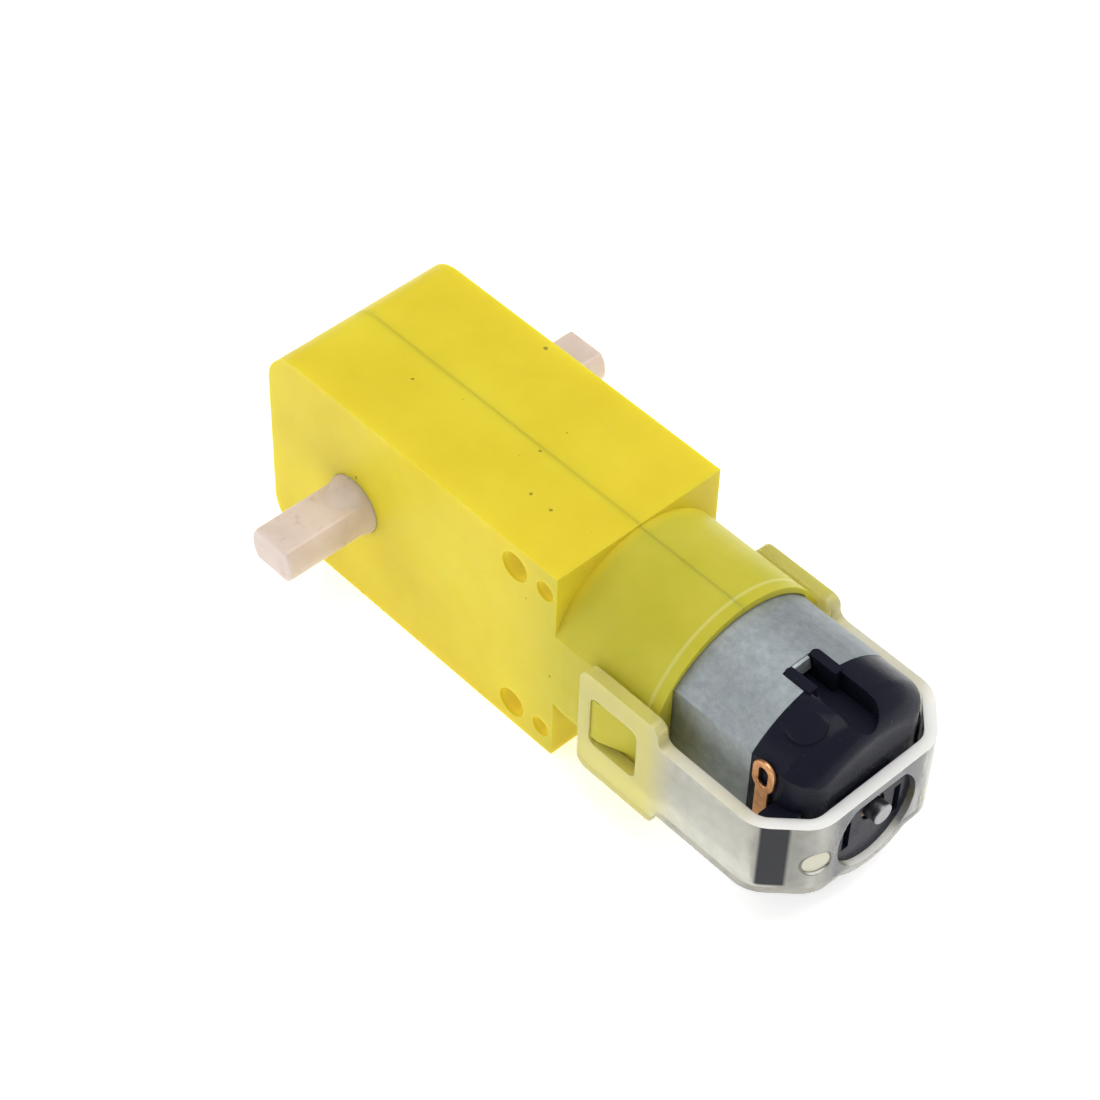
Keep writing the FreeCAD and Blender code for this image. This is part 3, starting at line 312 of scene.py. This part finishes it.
def cap_plastic():
    """Glossy black moulding with a blue cast, dust and fine handling marks."""
    material, tree, shader = new_material("black moulding")
    where = object_coords(tree)
    dust = ramp(tree, noise(tree, where, 0.35 * MM, 2, 0.5), 0.0, 0.35, (0.70, 0.78))
    set_inputs(tree, shader, {
        "Base Color": mix(tree, dust, (0.011, 0.012, 0.021), (0.10, 0.11, 0.13)),
        "Roughness": ramp(tree, noise(tree, where, 2.2 * MM, 6, 0.7), 0.12, 0.36, (0.3, 0.75)),
        "IOR": 1.46, "Specular IOR Level": 0.08,
    })
    bump(tree, shader, noise(tree, where, 1.6 * MM, 4), 0.06 * MM, 0.45)
    return material


def clear_plastic():
    """Milky clear strap plastic: clear over the black cap and cream elsewhere, with painted light: yellow
    light near the frames, a painted highlight on faces turned up, painted shade on the plate, a yellow glow
    in the far corner and the cap's fin painted dark where it shows through.
    """
    material, tree, shader = new_material("clear plastic")
    where = object_coords(tree)
    frame_yellow_light = sheer(tree, where, "X", *FRAME_YELLOW_LIGHT)
    lit_top_along = sheer(tree, where, "X", *LIT_TOP_END)
    # Painted highlight: faces turned up are painted lighter and less clear, white where they catch the
    # light and cream further along.
    lit_top = sheer(tree, surface_normal(tree), "Z", *FACING)
    # Painted dark: the end cap's fin as seen through the strap.
    fin_seen_through = overlap(tree, band(tree, where, "X", *FIN_ALONG, 0.45 * MM),
                  band(tree, where, "Z", *FIN_UP, 0.4 * MM))
    # Painted shade: the clear middle of the plate is tinted darker grey.
    plate_shade = overlap(tree, sheer(tree, where, "X", *PLATE_START),
                    band(tree, where, "Y", *PLATE_ACROSS, 2.2 * MM), sheer(tree, where, "Z", *PLATE_LOW))
    glow = overlap(tree, sheer(tree, where, "X", *GLOW_START), sheer(tree, where, "Y", *GLOW_ACROSS),
                   sheer(tree, where, "Z", *GLOW_LOW))
    away = distance(tree, where, MARK)
    spot = fade(tree, away, *MARK_EDGE)
    ring = overlap(tree, fade(tree, away, MARK_EDGE[1], MARK_EDGE[0]), fade(tree, away, *RING_EDGE))

    # Painted yellow light from the housing tints the strap near the frame.
    tint = mix(tree, frame_yellow_light, (0.78, 0.77, 0.69), (0.82, 0.75, 0.24))
    for mask, colour in ((glow, (0.70, 0.60, 0.16)), (plate_shade, (0.30, 0.30, 0.33)),
                         (spot, (0.88, 0.84, 0.66)), (ring, (0.36, 0.35, 0.28)),
                         (fin_seen_through, (0.012, 0.013, 0.017))):
        tint = mix(tree, mask, tint, colour)
    # Colour of the painted highlight on the faces turned up: white, then cream.
    lit_top_colour = mix(tree, lit_top_along, (0.97, 0.95, 0.88), (0.88, 0.84, 0.68))
    # Painted yellow light also on the faces turned up near the frame.
    lit_top_colour = mix(tree, frame_yellow_light, lit_top_colour, (0.70, 0.64, 0.18))

    clear = ramp(tree, noise(tree, where, 3 * MM, 4, 0.6), 0.58, 0.72)
    # Less clear where yellow light, glow, shade and the seen-through fin are painted, and at the mould
    # mark.
    for mask, amount in ((frame_yellow_light, 0.42), (glow, 0.22), (plate_shade, 0.85), (spot, 0.30), (fin_seen_through, 0.04)):
        clear = mix(tree, mask, clear, amount)
    lit_top_clear = mix(tree, lit_top_along, 0.08, 0.36)

    set_inputs(tree, shader, {
        "Base Color": mix(tree, lit_top, tint, lit_top_colour),
        "Transmission Weight": mix(tree, lit_top, clear, lit_top_clear),
        "Roughness": ramp(tree, noise(tree, where, 1.5 * MM, 5, 0.7), 0.10, 0.24, (0.3, 0.75)),
        "IOR": 1.45, "Specular IOR Level": 0.25,
        "Subsurface Weight": 0.6, "Subsurface Radius": (1.0, 0.95, 0.75), "Subsurface Scale": 1.5 * MM,
    })
    bump(tree, shader, noise(tree, where, 2.5 * MM, 3), 0.04 * MM, 0.3)
    return material


def metal(name, dark, light, rough, grain, metallic=1.0, stretch=(1, 1, 1)):
    """A metal with a two-tone grain; rough is a (low, high) pair and grain its size in metres."""
    material, tree, shader = new_material(name)
    where = object_coords(tree, stretch)
    fac = noise(tree, where, grain, 5, 0.65)
    set_inputs(tree, shader, {
        "Base Color": ramp(tree, fac, dark, light),
        "Roughness": ramp(tree, noise(tree, where, 2 * grain, 4), *rough),
        "Metallic": metallic,
    })
    bump(tree, shader, fac, 0.01 * MM, 0.4)
    return material


MATERIALS = {
    "yellow_plastic": yellow_plastic(),
    "shaft_plastic": shaft_plastic(),
    "gear_plastic": gear_plastic(),
    "can_steel": can_steel(),
    "cap_plastic": cap_plastic(),
    "clear_plastic": clear_plastic(),
    "screw_steel": metal("plated screw", (0.36, 0.36, 0.37), (0.55, 0.55, 0.56), (0.25, 0.45), 0.5 * MM),
    "pin_steel": metal("ground steel", (0.18, 0.18, 0.19), (0.34, 0.34, 0.35), (0.22, 0.40), 0.3 * MM,
                       stretch=(1, 0.1, 0.1)),
    "copper": metal("copper sheet", (0.46, 0.20, 0.09), (0.86, 0.46, 0.22), (0.22, 0.45), 0.7 * MM),
    "bronze": metal("oily sintered bronze", (0.30, 0.20, 0.10), (0.50, 0.37, 0.22), (0.35, 0.55), 0.2 * MM),
    "ferrite": metal("ferrite", (0.03, 0.03, 0.033), (0.07, 0.07, 0.075), (0.5, 0.7), 0.3 * MM, 0.2),
    "core_steel": metal("laminations", (0.22, 0.22, 0.23), (0.42, 0.42, 0.43), (0.35, 0.5), 0.4 * MM,
                        stretch=(1, 0.05, 0.05)),
    "magnet_wire": metal("enamelled wire", (0.28, 0.09, 0.03), (0.62, 0.28, 0.12), (0.25, 0.4), 0.35 * MM,
                         0.8, stretch=(0.1, 1, 1)),
    "insulation": metal("pressed fibre", (0.30, 0.12, 0.06), (0.45, 0.22, 0.12), (0.6, 0.8), 0.3 * MM, 0.0),
    "carbon": metal("carbon", (0.02, 0.02, 0.022), (0.05, 0.05, 0.055), (0.4, 0.6), 0.2 * MM, 0.1),
}


# ---------------------------------------------------------------- carried-over nodes

def dress(node, slot):
    """Give a node its material, merged vertices and smooth shading, and rounded edges if it shows."""
    obj = frame["nodes"][node]
    obj.data.materials.clear()
    obj.data.materials.append(MATERIALS[slot])
    weld = obj.modifiers.new("Weld", "WELD")
    weld.merge_threshold = 1e-6
    if node in SOFT_EDGE:
        flatten = obj.modifiers.new("Flatten", "DECIMATE")
        flatten.decimate_type = "DISSOLVE"
        flatten.angle_limit = FLAT_ANGLE
        soften = obj.modifiers.new("Soften", "BEVEL")
        soften.width = SOFT_EDGE[node] * MM
        soften.segments = 3
        soften.limit_method = "ANGLE"
        soften.angle_limit = SHARP_ANGLE
        soften.harden_normals = False
        even = obj.modifiers.new("Even", "WEIGHTED_NORMAL")
        even.weight = 80
    for polygon in obj.data.polygons:
        polygon.use_smooth = True


for part in frame["record"]["subparts"]:
    dress(part["node"], part["material_slot"])


# ---------------------------------------------------------------- stage

def camera():
    """The camera looks down at the motor's end from the left."""
    azimuth, elevation = CAMERA_AZIMUTH, CAMERA_ELEVATION
    back = Vector((math.sin(azimuth) * math.cos(elevation), -math.cos(azimuth) * math.cos(elevation),
                   math.sin(elevation)))
    right = Vector((math.cos(azimuth), math.sin(azimuth), 0))
    up = back.cross(right)
    roll = Matrix.Rotation(CAMERA_ROLL, 3, back)
    right, up = roll @ right, roll @ up
    data = bpy.data.cameras.new("Camera")
    data.lens = CAMERA_LENS
    data.sensor_width = CAMERA_SENSOR
    data.clip_start = 0.01
    data.clip_end = 20
    obj = bpy.data.objects.new("Camera", data)
    basis = Matrix((right, up, back)).transposed()
    obj.matrix_world = Matrix.Translation(CAMERA_TARGET + back * CAMERA_DISTANCE) @ basis.to_4x4()
    bpy.context.scene.collection.objects.link(obj)
    bpy.context.scene.camera = obj


def floor():
    """A wide white table just under the part, which gives a little light of its own."""
    low = cad_low[2] - TABLE_GAP
    corners = [(x * TABLE_HALF, y * TABLE_HALF, low) for x, y in ((-1, -1), (1, -1), (1, 1), (-1, 1))]
    mesh = bpy.data.meshes.new("Floor")
    mesh.from_pydata(corners, [], [(0, 1, 2, 3)])
    obj = bpy.data.objects.new("Floor", mesh)
    bpy.context.scene.collection.objects.link(obj)
    material, tree, shader = new_material("white table")
    set_inputs(tree, shader, {
        "Base Color": ramp(tree, noise(tree, object_coords(tree), 0.15, 2), 0.93, 0.95),
        "Roughness": 0.9, "Specular IOR Level": 0.1,
        "Emission Color": WHITE, "Emission Strength": TABLE_STRENGTH,
    })
    mesh.materials.append(material)


def area_light(name, place, size, power):
    """A rectangular light at a place, aimed at the part."""
    data = bpy.data.lights.new(name, "AREA")
    data.shape = "RECTANGLE"
    data.size, data.size_y = size
    data.energy = power
    obj = bpy.data.objects.new(name, data)
    obj.location = place
    obj.rotation_euler = (Vector(place) - Vector(LIGHT_TARGET)).to_track_quat("Z", "Y").to_euler()
    bpy.context.scene.collection.objects.link(obj)


def lights():
    """Soft boxes above and on both sides, in a dim white room."""
    world = bpy.data.worlds.new("Room")
    world.use_nodes = True
    tree = world.node_tree
    set_inputs(tree, tree.nodes["Background"], {"Color": WHITE, "Strength": ROOM_STRENGTH})
    bpy.context.scene.world = world
    for name, (place, size, power) in LIGHTS.items():
        area_light(name, place, size, power)


camera()
floor()
lights()
bpy.context.scene.view_settings.view_transform = "Standard"
